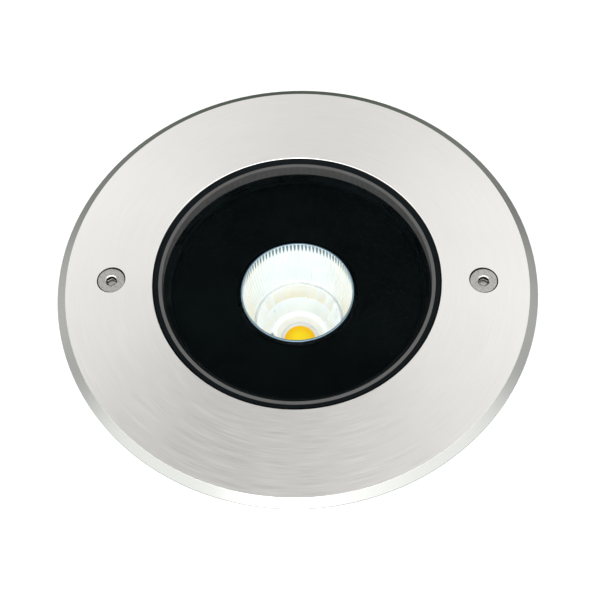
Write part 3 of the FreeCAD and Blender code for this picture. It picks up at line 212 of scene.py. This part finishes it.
# ---- node helpers --------------------------------------------------------------------------------
class Recipe:
    """A material's node tree: its Principled node and short ways to add what feeds it."""

    def __init__(self, name, sockets):
        self.material = bpy.data.materials.new(name)
        self.material.use_nodes = True
        self.tree = self.material.node_tree
        self.shader = self.tree.nodes["Principled BSDF"]
        for socket, value in sockets.items():
            self.shader.inputs[socket].default_value = value
        self.place = self.add("ShaderNodeTexCoord").outputs["Object"]

    def add(self, kind, inputs=(), **settings):
        node = self.tree.nodes.new(kind)
        for key, value in settings.items():
            setattr(node, key, value)
        for key, value in dict(inputs).items():
            if isinstance(value, bpy.types.NodeSocket):
                self.tree.links.new(value, node.inputs[key])
            else:
                node.inputs[key].default_value = value
        return node

    def math(self, operation, a, b=0.0):
        return self.add("ShaderNodeMath", {0: a, 1: b}, operation=operation).outputs[0]

    def span(self, value, low, high, start=0.0, end=1.0):
        """Value from start..end carried to low..high."""
        inputs = {"Value": value, "From Min": start, "From Max": end, "To Min": low, "To Max": high}
        return self.add("ShaderNodeMapRange", inputs).outputs["Result"]

    def beyond(self, value, start, end):
        """Nought up to start, one from end on."""
        return self.span(value, 0.0, 1.0, start, end)

    def within(self, value, start, end):
        """One up to start, nought from end on."""
        return self.span(value, 1.0, 0.0, start, end)

    def noise(self, scale, detail=3.0, vector=None):
        inputs = {"Vector": vector or self.place, "Scale": scale, "Detail": detail}
        return self.add("ShaderNodeTexNoise", inputs).outputs["Fac"]

    def stretched(self, scale):
        return self.add("ShaderNodeMapping", {"Vector": self.place, "Scale": scale}).outputs["Vector"]

    def ramp(self, value, stops):
        """Colours along a value, from (position, colour) stops."""
        node = self.add("ShaderNodeValToRGB", {"Fac": value})
        ramp = node.color_ramp
        for _ in stops[2:]:
            ramp.elements.new(0.5)
        for element, (position, colour) in zip(ramp.elements, stops):
            element.position = position
            element.color = (*colour[:3], 1)
        return node.outputs["Color"]

    def mix(self, factor, a, b):
        node = self.add("ShaderNodeMix", data_type="RGBA")
        for key, value in ((0, factor), (6, a), (7, b)):
            if isinstance(value, bpy.types.NodeSocket):
                self.tree.links.new(value, node.inputs[key])
            else:
                node.inputs[key].default_value = (*value[:3], 1)
        return node.outputs[2]

    def feed(self, socket, value):
        self.tree.links.new(value, self.shader.inputs[socket])

    def relief(self, height, strength, depth):
        inputs = {"Height": height, "Strength": strength, "Distance": depth}
        self.feed("Normal", self.add("ShaderNodeBump", inputs).outputs["Normal"])

    def radius(self, x_centre=0.0):
        """Distance from the Z axis, or from a pair of axes at plus and minus x_centre, and its X and Y."""
        parts = self.add("ShaderNodeSeparateXYZ", {"Vector": self.place}).outputs
        x, y = parts["X"], parts["Y"]
        if x_centre:
            x = self.math("SUBTRACT", self.math("ABSOLUTE", x), x_centre)
        square = self.math("ADD", self.math("MULTIPLY", x, x), self.math("MULTIPLY", y, y))
        return self.math("SQRT", square), x, y

    def turned_lines(self, across, along, x_centre=0.0):
        """Noise drawn out round the axis, as a lathe or a turning brush leaves it."""
        radius, x, y = self.radius(x_centre)
        inputs = {
            "X": self.math("MULTIPLY", radius, across),
            "Y": self.math("MULTIPLY", self.math("DIVIDE", x, radius), along),
            "Z": self.math("MULTIPLY", self.math("DIVIDE", y, radius), along),
        }
        vector = self.add("ShaderNodeCombineXYZ", inputs).outputs[0]
        return radius, self.noise(1.0, 4.0, vector)


def shades(colour, spread):
    return [tuple(min(c * k, 1.0) for c in colour) for k in (1 - spread, 1 + spread)]


def plain_finish(name, colour, roughness, grain=300.0, spread=0.12, depth=0.00004, strength=0.3,
                 stretch=(1, 1, 1), **sockets):
    """A surface with mottled colour, uneven gloss and a fine grain in relief."""
    recipe = Recipe(name, {key.replace("_", " "): value for key, value in sockets.items()})
    vector = recipe.stretched(stretch)
    coarse = recipe.noise(grain / 6, 3.0, vector)
    fine = recipe.noise(grain, 5.0, vector)
    dark, light = shades(colour, spread)
    recipe.feed("Base Color", recipe.ramp(coarse, [(0.3, dark), (0.7, light)]))
    recipe.feed("Roughness", recipe.span(fine, roughness * 0.8, min(roughness * 1.2, 1.0)))
    recipe.relief(fine, strength, depth)
    return recipe.material


def metal_finish(name, colour, roughness, **options):
    return plain_finish(name, colour, roughness, Metallic=1.0, **options)


# ---- finishes ------------------------------------------------------------------------------------
def ring_steel(finish):
    """Satin steel with faint turning lines. The bevel's steel is darker, and the opening's edge and screw
    seats are near black: all painted shade.
    """
    recipe = Recipe("ring_steel", {"Metallic": 1.0})
    radius, lines = recipe.turned_lines(2600.0, 5.0)
    clouds = recipe.noise(14.0, 3.0)
    dark, light = shades(finish.steel, 0.05)
    halves = [recipe.math("MULTIPLY", value, 0.5) for value in (lines, clouds)]
    face = recipe.ramp(recipe.math("ADD", *halves), [(0.3, dark), (0.7, light)])
    on_bevel = recipe.beyond(radius, BEVEL_START - 0.0001, BEVEL_START + 0.0001)
    seat_radius, _, _ = recipe.radius(TRIM_SCREW_X)
    # The opening's inner wall and the screw seats' walls are darkened: painted shade in these recesses
    in_opening = recipe.within(radius, OPENING + 0.00005, OPENING + 0.0002)
    in_seat = recipe.within(seat_radius, HEAD_RADIUS + 0.0003, HEAD_RADIUS + 0.0004)
    painted_shade_edges = recipe.math("MAXIMUM", in_opening, in_seat)
    # Darker steel on the bevel: painted shade
    steel = recipe.mix(on_bevel, face, finish.shaded_bevel_steel)
    recipe.feed("Base Color", recipe.mix(painted_shade_edges, steel, PAINTED_SHADE_STEEL))
    # Grazing tint on the bevel that darkens its glancing reflection: painted shade
    recipe.feed("Specular Tint", recipe.mix(on_bevel, (1, 1, 1), GRAZING_SHADE_TINT))
    satin = recipe.span(lines, 0.27, 0.4)
    recipe.feed("Roughness", recipe.math("ADD", satin, recipe.math("MULTIPLY", on_bevel, -0.08)))
    recipe.relief(lines, 0.12, 0.00003)
    return recipe.material


def screw_steel():
    """Turned steel round each ring screw's own axis, with worn marks. Its edge and socket are darkened with
    painted shade.
    """
    recipe = Recipe("screw_steel", {"Metallic": 1.0})
    radius, lines = recipe.turned_lines(5200.0, 3.0, TRIM_SCREW_X)
    dark, light = shades((0.52, 0.51, 0.49), 0.14)
    body = recipe.ramp(lines, [(0.35, dark), (0.65, light)])
    marks = recipe.beyond(recipe.noise(1500.0, 2.0), 0.56, 0.66)
    body = recipe.mix(recipe.math("MULTIPLY", marks, 0.6), body, WORN_MARK)
    # The head's rim and its socket's walls get near-black steel: painted shade in the gap and the recess
    head_rim_shade = recipe.beyond(radius, HEAD_RADIUS - 0.00025, HEAD_RADIUS - 0.0001)
    height = recipe.add("ShaderNodeSeparateXYZ", {"Vector": recipe.place}).outputs["Z"]
    floor = HEAD_TOP - SOCKET_DEPTH
    sunk = recipe.within(height, HEAD_TOP - 0.0005, HEAD_TOP - 0.00025)
    above_floor = recipe.beyond(height, floor + 0.0001, floor + 0.0003)
    painted_shade_places = recipe.math("MAXIMUM", head_rim_shade, recipe.math("MULTIPLY", sunk, above_floor))
    recipe.feed("Base Color", recipe.mix(painted_shade_places, body, PAINTED_SHADE_STEEL))
    recipe.feed("Specular Tint", recipe.mix(painted_shade_places, (1, 1, 1), GRAZING_SHADE_TINT))
    recipe.feed("Roughness", recipe.span(lines, 0.22, 0.4))
    recipe.relief(lines, 0.25, 0.00004)
    return recipe.material


def clear_glass():
    """Nearly clear glass, with faint smears and a greyer edge."""
    recipe = Recipe("clear_glass", {"Alpha": 0.04, "Specular IOR Level": 0.1, "Roughness": 0.05})
    radius, _, _ = recipe.radius()
    smears = recipe.noise(30.0, 4.0)
    edge = recipe.beyond(radius, GLASS_EDGE - 0.0016, GLASS_EDGE)
    clear = recipe.ramp(smears, [(0.3, (0.002, 0.004, 0.004)), (0.7, (0.01, 0.02, 0.02))])
    recipe.feed("Base Color", recipe.mix(edge, clear, GLASS_RIM))
    return recipe.material


def mirror_finish(finish, name, metallic, roughness, lip_start, lip):
    """Bright anodised metal, a little milky, with a duller lip. Its outside is left plain."""
    recipe = Recipe(name, {"Metallic": metallic})
    radius, _, _ = recipe.radius()
    dark, light = shades(finish.mirror, 0.03)
    inside = recipe.ramp(recipe.noise(120.0, 3.0), [(0.3, dark), (0.7, light)])
    on_lip = recipe.beyond(radius, lip_start - 0.00005, lip_start + 0.00005)
    outside = recipe.add("ShaderNodeAttribute", attribute_name="outside").outputs["Fac"]
    bright = recipe.mix(on_lip, inside, lip)
    recipe.feed("Base Color", recipe.mix(outside, bright, PLAIN_BACK))
    recipe.feed("Roughness", recipe.span(recipe.noise(500.0), roughness * 0.8, roughness * 1.2))
    recipe.relief(recipe.noise(900.0), 0.04, 0.00002)
    return recipe.material


def phosphor_silicone(finish):
    """Yellow silicone, deeper towards its edge, with a fine powder grain."""
    recipe = Recipe("phosphor_silicone", {"Roughness": 0.4, "Specular IOR Level": 0.15})
    radius, _, _ = recipe.radius()
    grain = recipe.noise(2600.0, 4.0)
    share = recipe.math("MULTIPLY", radius, 1 / LED_RADIUS)
    depth = recipe.math("ADD", share, recipe.math("MULTIPLY", grain, 0.25))
    deep = tuple(c * k for c, k in zip(finish.phosphor, (0.95, 0.72, 0.4)))
    recipe.feed("Base Color", recipe.ramp(depth, [(0.55, tuple(finish.phosphor)), (1.2, deep)]))
    recipe.relief(grain, 0.2, 0.00003)
    return recipe.material


def casting_finish(finish, name):
    """Powder coat with its orange peel."""
    return plain_finish(name, finish.casting, 0.5, grain=900.0, spread=0.1, depth=0.0001, strength=0.45)


def pot_plastic(finish):
    """Moulded plastic with a spark-eroded grain and dusty patches."""
    recipe = Recipe("pot_plastic", {"Specular IOR Level": 0.4})
    dust = recipe.noise(22.0, 6.0)
    dusty = tuple(c * 2.2 + 0.01 for c in finish.pot)
    recipe.feed("Base Color", recipe.ramp(dust, [(0.42, tuple(finish.pot)), (0.8, dusty)]))
    recipe.feed("Roughness", recipe.span(dust, 0.45, 0.75))
    recipe.relief(recipe.noise(1600.0, 3.0), 0.35, 0.00008)
    return recipe.material


def slot_finishes(finish):
    """Every slot of the record, with the material that its nodes take."""
    return {
        "trim_steel": ring_steel(finish),
        "trim_screw_steel": screw_steel(),
        "clear_glass": clear_glass(),
        "grey_sealant": plain_finish("grey_sealant", finish.sealant, 0.55, grain=700.0, spread=0.1),
        "gasket_rubber": plain_finish(
            "gasket_rubber", (0.0015, 0.0028, 0.0034), 0.5, grain=900.0, spread=0.3, Specular_IOR_Level=0.05),
        "black_metal": plain_finish(
            "black_metal", finish.black, 0.6, grain=900.0, spread=0.25, Specular_IOR_Level=0.0),
        "reflector_upper_metal": mirror_finish(
            finish, "fluted_metal", 0.6, 0.16, RIM_TOP.y - LIP_WIDTH, FLUTED_LIP),
        "reflector_lower_metal": mirror_finish(
            finish, "faceted_metal", 0.5, 0.3, LEDGE_START, LEDGE_FACE),
        "holder_plastic": plain_finish(
            "holder_plastic", (0.97, 0.97, 0.93), 0.35, grain=500.0, spread=0.03),
        "phosphor": phosphor_silicone(finish),
        "led_ceramic": plain_finish("led_ceramic", (0.8, 0.79, 0.74), 0.5, grain=900.0, spread=0.05),
        "pad_silicone": plain_finish("pad_silicone", (0.3, 0.32, 0.36), 0.7, grain=500.0),
        "housing_metal": casting_finish(finish, "housing_metal"),
        "cover_metal": casting_finish(finish, "cover_metal"),
        "sink_aluminium": metal_finish("sink_aluminium", (0.72, 0.73, 0.74), 0.32, stretch=STRIP),
        "yoke_steel": metal_finish("yoke_steel", (0.58, 0.59, 0.6), 0.34, stretch=STRIP),
        "bracket_steel": metal_finish("bracket_steel", (0.6, 0.6, 0.6), 0.34, stretch=STRIP),
        "hub_steel": metal_finish("hub_steel", (0.6, 0.6, 0.59), 0.3, grain=600.0),
        "pin_steel": metal_finish("pin_steel", (0.62, 0.62, 0.61), 0.26, grain=700.0),
        "small_screw_steel": metal_finish("small_screw_steel", (0.62, 0.62, 0.61), 0.28, grain=700.0),
        "insert_brass": metal_finish("insert_brass", (0.72, 0.52, 0.22), 0.3, grain=600.0),
        "earth_brass": metal_finish("earth_brass", (0.74, 0.54, 0.24), 0.28, grain=600.0),
        "nickel_brass": metal_finish("nickel_brass", (0.66, 0.62, 0.56), 0.22, grain=500.0),
        "sleeve_plastic": pot_plastic(finish),
        "seal_rubber": plain_finish("seal_rubber", (0.018, 0.018, 0.019), 0.65, grain=900.0, spread=0.2),
        "washer_nylon": plain_finish("washer_nylon", (0.72, 0.7, 0.63), 0.45, grain=500.0, spread=0.05),
        "driver_plastic": plain_finish(
            "driver_plastic", (0.7, 0.7, 0.67), 0.42, grain=800.0, spread=0.05),
        "terminal_plastic": plain_finish(
            "terminal_plastic", (0.72, 0.7, 0.62), 0.4, grain=700.0, spread=0.05),
        "supply_wire": plain_finish("supply_wire", (0.11, 0.045, 0.02), 0.4, grain=900.0),
        "driver_wire": plain_finish("driver_wire", (0.42, 0.02, 0.015), 0.4, grain=900.0),
        "lamp_wire": plain_finish("lamp_wire", (0.42, 0.02, 0.015), 0.4, grain=900.0),
        "vent_plastic": plain_finish("vent_plastic", (0.02, 0.02, 0.021), 0.35, grain=900.0),
    }


# ---- mesh helpers --------------------------------------------------------------------------------
def bowed(low, high, bulge, steps):
    """Points of a stage's profile, from its foot to its top, bowed out of a straight line."""
    points = []
    for i in range(steps + 1):
        t = i / steps
        radius = low[0] + (high[0] - low[0]) * t + bulge * 4 * t * (1 - t)
        points.append((radius, low[1] + (high[1] - low[1]) * t))
    return points


def turn_once(mesh, profile, steps):
    bmesh.ops.spin(
        mesh, geom=profile, cent=(0, 0, 0), axis=(0, 0, 1), angle=FULL_TURN, steps=steps, use_merge=True)


def spun(inside, outside, steps):
    """A closed outline of (radius, height), turned once about Z. A layer marks its outside."""
    mesh = bmesh.new()
    layer = mesh.verts.layers.float.new("outside")
    corners = [mesh.verts.new((radius, 0, height)) for radius, height in inside + outside]
    for corner in corners[len(inside):]:
        corner[layer] = 1.0
    edges = [mesh.edges.new(pair) for pair in zip(corners, corners[1:] + corners[:1])]
    turn_once(mesh, corners + edges, steps)
    bmesh.ops.remove_doubles(mesh, verts=mesh.verts, dist=1e-7)
    bmesh.ops.recalc_face_normals(mesh, faces=mesh.faces)
    return mesh


def finished(mesh, name, body, slot, node, smooth=True):
    """The mesh as an object that rides on a body and stands for a node."""
    data = bpy.data.meshes.new(name)
    for face in mesh.faces:
        face.smooth = smooth
    mesh.to_mesh(data)
    mesh.free()
    piece = bpy.data.objects.new(name, data)
    bpy.context.scene.collection.objects.link(piece)
    piece.data.materials.append(finish_of(slot))
    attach(piece, body)
    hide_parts(node)


def finish_of(slot):
    return bpy.data.materials[bpy.context.scene["finish_" + slot]]


# ---- pieces --------------------------------------------------------------------------------------
def fluted_reflector(optic):
    """Upper stage: a smooth outer wall, and rows of small hollows pressed into its inner one."""
    rim = RIM_TOP.y - optic.rim_reach
    foot = LEDGE_TOP.y - optic.wall
    under = RIM_TOP.z - optic.rim_thickness
    inner = bowed((foot, LEDGE_TOP.z), (rim, RIM_TOP.z), optic.bulge, optic.flute_rows * HOLLOW_STEPS)
    outer = bowed((foot + optic.wall, LEDGE_TOP.z), (rim + optic.wall, under), optic.bulge, OUTER_STEPS)
    rolled = [(RIM_TOP.y, RIM_TOP.z), (RIM_TOP.y, under)]
    mesh = spun(inner + rolled, outer[::-1], optic.flutes * FLUTE_SIDES)
    layer = mesh.verts.layers.float["outside"]
    for vert in mesh.verts:
        radius = math.hypot(vert.co.x, vert.co.y)
        share = (vert.co.z - LEDGE_TOP.z) / (RIM_TOP.z - LEDGE_TOP.z)
        plain = not FLUTE_MARGIN < share < 1 - FLUTE_MARGIN
        if vert[layer] or plain or radius > rim:
            continue
        turn = math.atan2(vert.co.y, vert.co.x) * optic.flutes
        flute = 0.5 - 0.5 * math.cos(turn)
        row = 0.5 - 0.5 * math.cos(FULL_TURN * share * optic.flute_rows)
        vert.co.xy *= 1 + (optic.flute_depth * flute + optic.row_depth * row) / radius
    finished(mesh, "fluted_reflector", "lamp_head", "reflector_upper_metal", "upper_reflector")


def faceted_reflector(optic):
    """Lower stage: a ledge, and rows of flat facets down to its throat."""
    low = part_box("lower_reflector")[0].z
    bowl_top = LEDGE_TOP.z - optic.ledge_drop
    inner = bowed((optic.throat, low), (optic.ledge, bowl_top), optic.bulge, optic.rows)
    foot = (optic.throat + optic.wall, low)
    outer = bowed(foot, (optic.ledge + optic.wall, bowl_top), optic.bulge, optic.rows)
    ledge = [(optic.ledge, LEDGE_TOP.z), (LEDGE_TOP.y, LEDGE_TOP.z), (LEDGE_TOP.y, bowl_top)]
    mesh = spun(inner + ledge, outer[::-1], optic.columns)
    finished(mesh, "faceted_reflector", "lamp_head", "reflector_lower_metal", "lower_reflector", False)


# ---- stage ---------------------------------------------------------------------------------------
def paving(stage):
    """Pale ground with a hole for the sleeve. It keeps the ring's shadow."""
    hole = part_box("sleeve")[1].y + HOLE_GAP
    mesh = bmesh.new()
    profile = [(stage.floor_size, GROUND), (hole, GROUND), (hole, GROUND - HOLE_DEPTH)]
    corners = [mesh.verts.new((radius, 0, height)) for radius, height in profile]
    edges = [mesh.edges.new(pair) for pair in zip(corners, corners[1:])]
    turn_once(mesh, corners + edges, FLOOR_STEPS)
    data = bpy.data.meshes.new("paving")
    mesh.to_mesh(data)
    mesh.free()
    floor = bpy.data.objects.new("paving", data)
    bpy.context.scene.collection.objects.link(floor)
    floor.data.materials.append(paving_finish(stage))


def paving_finish(stage):
    """Pale stone that the camera, metal and glass see as white, with the shadows kept."""
    recipe = Recipe("paving", {"Roughness": 0.9, "Specular IOR Level": 0.0})
    shade = stage.floor_shade
    stone = recipe.ramp(recipe.noise(9.0, 4.0), [(0.3, (shade * 0.98,) * 3), (0.7, (shade,) * 3)])
    recipe.feed("Base Color", stone)
    path = recipe.add("ShaderNodeLightPath").outputs
    seen = recipe.math("ADD", path["Is Camera Ray"], path["Is Glossy Ray"])
    seen = recipe.math("MINIMUM", recipe.math("ADD", seen, path["Is Transmission Ray"]), 1.0)
    white = recipe.add("ShaderNodeEmission", {"Color": (1, 1, 1, 1), "Strength": 1.0})
    share = recipe.math("MULTIPLY", seen, WHITE_SHARE)
    inputs = {0: share, 1: recipe.shader.outputs[0], 2: white.outputs[0]}
    blend = recipe.add("ShaderNodeMixShader", inputs)
    output = next(n for n in recipe.tree.nodes if n.type == "OUTPUT_MATERIAL")
    recipe.tree.links.new(blend.outputs[0], output.inputs["Surface"])
    return recipe.material


def soft_box(name, level, size, direction, distance):
    """Square lamp that faces the ring. Its level is the brightness of its face."""
    data = bpy.data.lights.new(name, "AREA")
    data.shape = "SQUARE"
    data.size = size
    data.energy = level * math.pi * size ** 2
    lamp = bpy.data.objects.new(name, data)
    way = Vector(direction).normalized()
    lamp.matrix_world = Matrix.Translation(Vector((0, 0, GROUND)) + way * distance) @ \
        way.to_track_quat("Z", "Y").to_matrix().to_4x4()
    bpy.context.scene.collection.objects.link(lamp)


def surroundings(stage):
    """Even light from all round, with soft glows added. The camera sees it as white."""
    world = bpy.data.worlds.new("surroundings")
    world.use_nodes = True
    nodes, links = world.node_tree.nodes, world.node_tree.links
    direction = nodes.new("ShaderNodeTexCoord").outputs["Generated"]
    total = None
    for level, way, full, end in GLOWS:
        towards = nodes.new("ShaderNodeVectorMath")
        towards.operation = "DOT_PRODUCT"
        towards.inputs[1].default_value = Vector(way).normalized()
        links.new(direction, towards.inputs[0])
        glow = nodes.new("ShaderNodeMapRange")
        glow.interpolation_type = "SMOOTHSTEP"
        glow.inputs["From Min"].default_value = math.cos(math.radians(end))
        glow.inputs["From Max"].default_value = math.cos(math.radians(full))
        glow.inputs["To Max"].default_value = level
        links.new(towards.outputs["Value"], glow.inputs["Value"])
        add = nodes.new("ShaderNodeMath")
        add.inputs[0].default_value = stage.sky
        if total:
            links.new(total, add.inputs[0])
        links.new(glow.outputs["Result"], add.inputs[1])
        total = add.outputs[0]
    path = nodes.new("ShaderNodeLightPath").outputs
    seen = nodes.new("ShaderNodeMath")
    seen.operation = "MAXIMUM"
    links.new(path["Is Camera Ray"], seen.inputs[0])
    links.new(path["Is Transmission Ray"], seen.inputs[1])
    strength = nodes.new("ShaderNodeMix")
    links.new(seen.outputs[0], strength.inputs[0])
    links.new(total, strength.inputs[2])
    strength.inputs[3].default_value = 1.0
    links.new(strength.outputs[0], nodes["Background"].inputs["Strength"])
    nodes["Background"].inputs["Color"].default_value = (1, 1, 1, 1)
    bpy.context.scene.world = world


def camera(stage):
    """The photograph's view: over the ring's middle from the front, with a small lean."""
    data = bpy.data.cameras.new("camera")
    data.sensor_width = SENSOR
    data.lens = stage.lens
    data.clip_start = NEAR_CLIP
    eye = bpy.data.objects.new("camera", data)
    aim = Vector((0, 0, GROUND + FACE_EDGE_HEIGHT))
    turn = Matrix.Rotation(stage.azimuth, 4, "Z")
    back = Vector((0, -math.cos(stage.elevation), math.sin(stage.elevation))) * stage.distance
    look = Matrix.Rotation(math.pi / 2 - stage.elevation, 4, "X") @ Matrix.Rotation(stage.yaw, 4, "Y")
    look = look @ Matrix.Rotation(stage.pitch, 4, "X") @ Matrix.Rotation(-stage.roll, 4, "Z")
    eye.matrix_world = Matrix.Translation(aim + turn @ back) @ turn @ look
    bpy.context.scene.collection.objects.link(eye)
    bpy.context.scene.camera = eye


# ---- operators -----------------------------------------------------------------------------------
class WELL_OT_finishes(bpy.types.Operator):
    """Make every finish and give each node of the frame its own"""
    bl_idname = "well.finishes"
    bl_label = "Finishes"

    def execute(self, context):
        finishes = slot_finishes(context.scene.well_finish)
        for slot, material in finishes.items():
            context.scene["finish_" + slot] = material.name
        for part in frame["record"]["subparts"]:
            node = frame["nodes"][part["node"]]
            node.data.materials.clear()
            node.data.materials.append(finishes[part["material_slot"]])
        return {"FINISHED"}


class WELL_OT_upper_reflector(bpy.types.Operator):
    """Model the reflector's fluted upper stage"""
    bl_idname = "well.upper_reflector"
    bl_label = "Fluted reflector"

    def execute(self, context):
        fluted_reflector(context.scene.well_optic)
        return {"FINISHED"}


class WELL_OT_lower_reflector(bpy.types.Operator):
    """Model the reflector's faceted lower stage"""
    bl_idname = "well.lower_reflector"
    bl_label = "Faceted reflector"

    def execute(self, context):
        faceted_reflector(context.scene.well_optic)
        return {"FINISHED"}


class WELL_OT_stage(bpy.types.Operator):
    """Set the paving, the lamps, the surroundings and the camera"""
    bl_idname = "well.stage"
    bl_label = "Stage"

    def execute(self, context):
        stage = context.scene.well_stage
        context.scene.view_settings.view_transform = "Standard"
        paving(stage)
        surroundings(stage)
        soft_box(*KEY_BOX)
        camera(stage)
        return {"FINISHED"}


class WELL_PT_panel(bpy.types.Panel):
    """Settings and steps of the well light"""
    bl_idname = "WELL_PT_panel"
    bl_label = "Well Light"
    bl_space_type = "VIEW_3D"
    bl_region_type = "UI"
    bl_category = "Well Light"

    def draw(self, context):
        for operator in OPERATORS:
            self.layout.operator(operator.bl_idname)
        for settings in (context.scene.well_optic, context.scene.well_finish, context.scene.well_stage):
            box = self.layout.box()
            for name in settings.__annotations__:
                box.prop(settings, name)


OPERATORS = (WELL_OT_finishes, WELL_OT_upper_reflector, WELL_OT_lower_reflector, WELL_OT_stage)
SETTINGS = (WellOpticSettings, WellFinishSettings, WellStageSettings)


def register():
    for made in (*SETTINGS, *OPERATORS, WELL_PT_panel):
        bpy.utils.register_class(made)
    bpy.types.Scene.well_optic = PointerProperty(type=WellOpticSettings)
    bpy.types.Scene.well_finish = PointerProperty(type=WellFinishSettings)
    bpy.types.Scene.well_stage = PointerProperty(type=WellStageSettings)


def unregister():
    del bpy.types.Scene.well_stage
    del bpy.types.Scene.well_finish
    del bpy.types.Scene.well_optic
    for made in (WELL_PT_panel, *reversed(OPERATORS), *reversed(SETTINGS)):
        bpy.utils.unregister_class(made)


def main():
    register()
    bpy.ops.well.finishes()
    bpy.ops.well.upper_reflector()
    bpy.ops.well.lower_reflector()
    bpy.ops.well.stage()


if __name__ == "__main__":
    main()
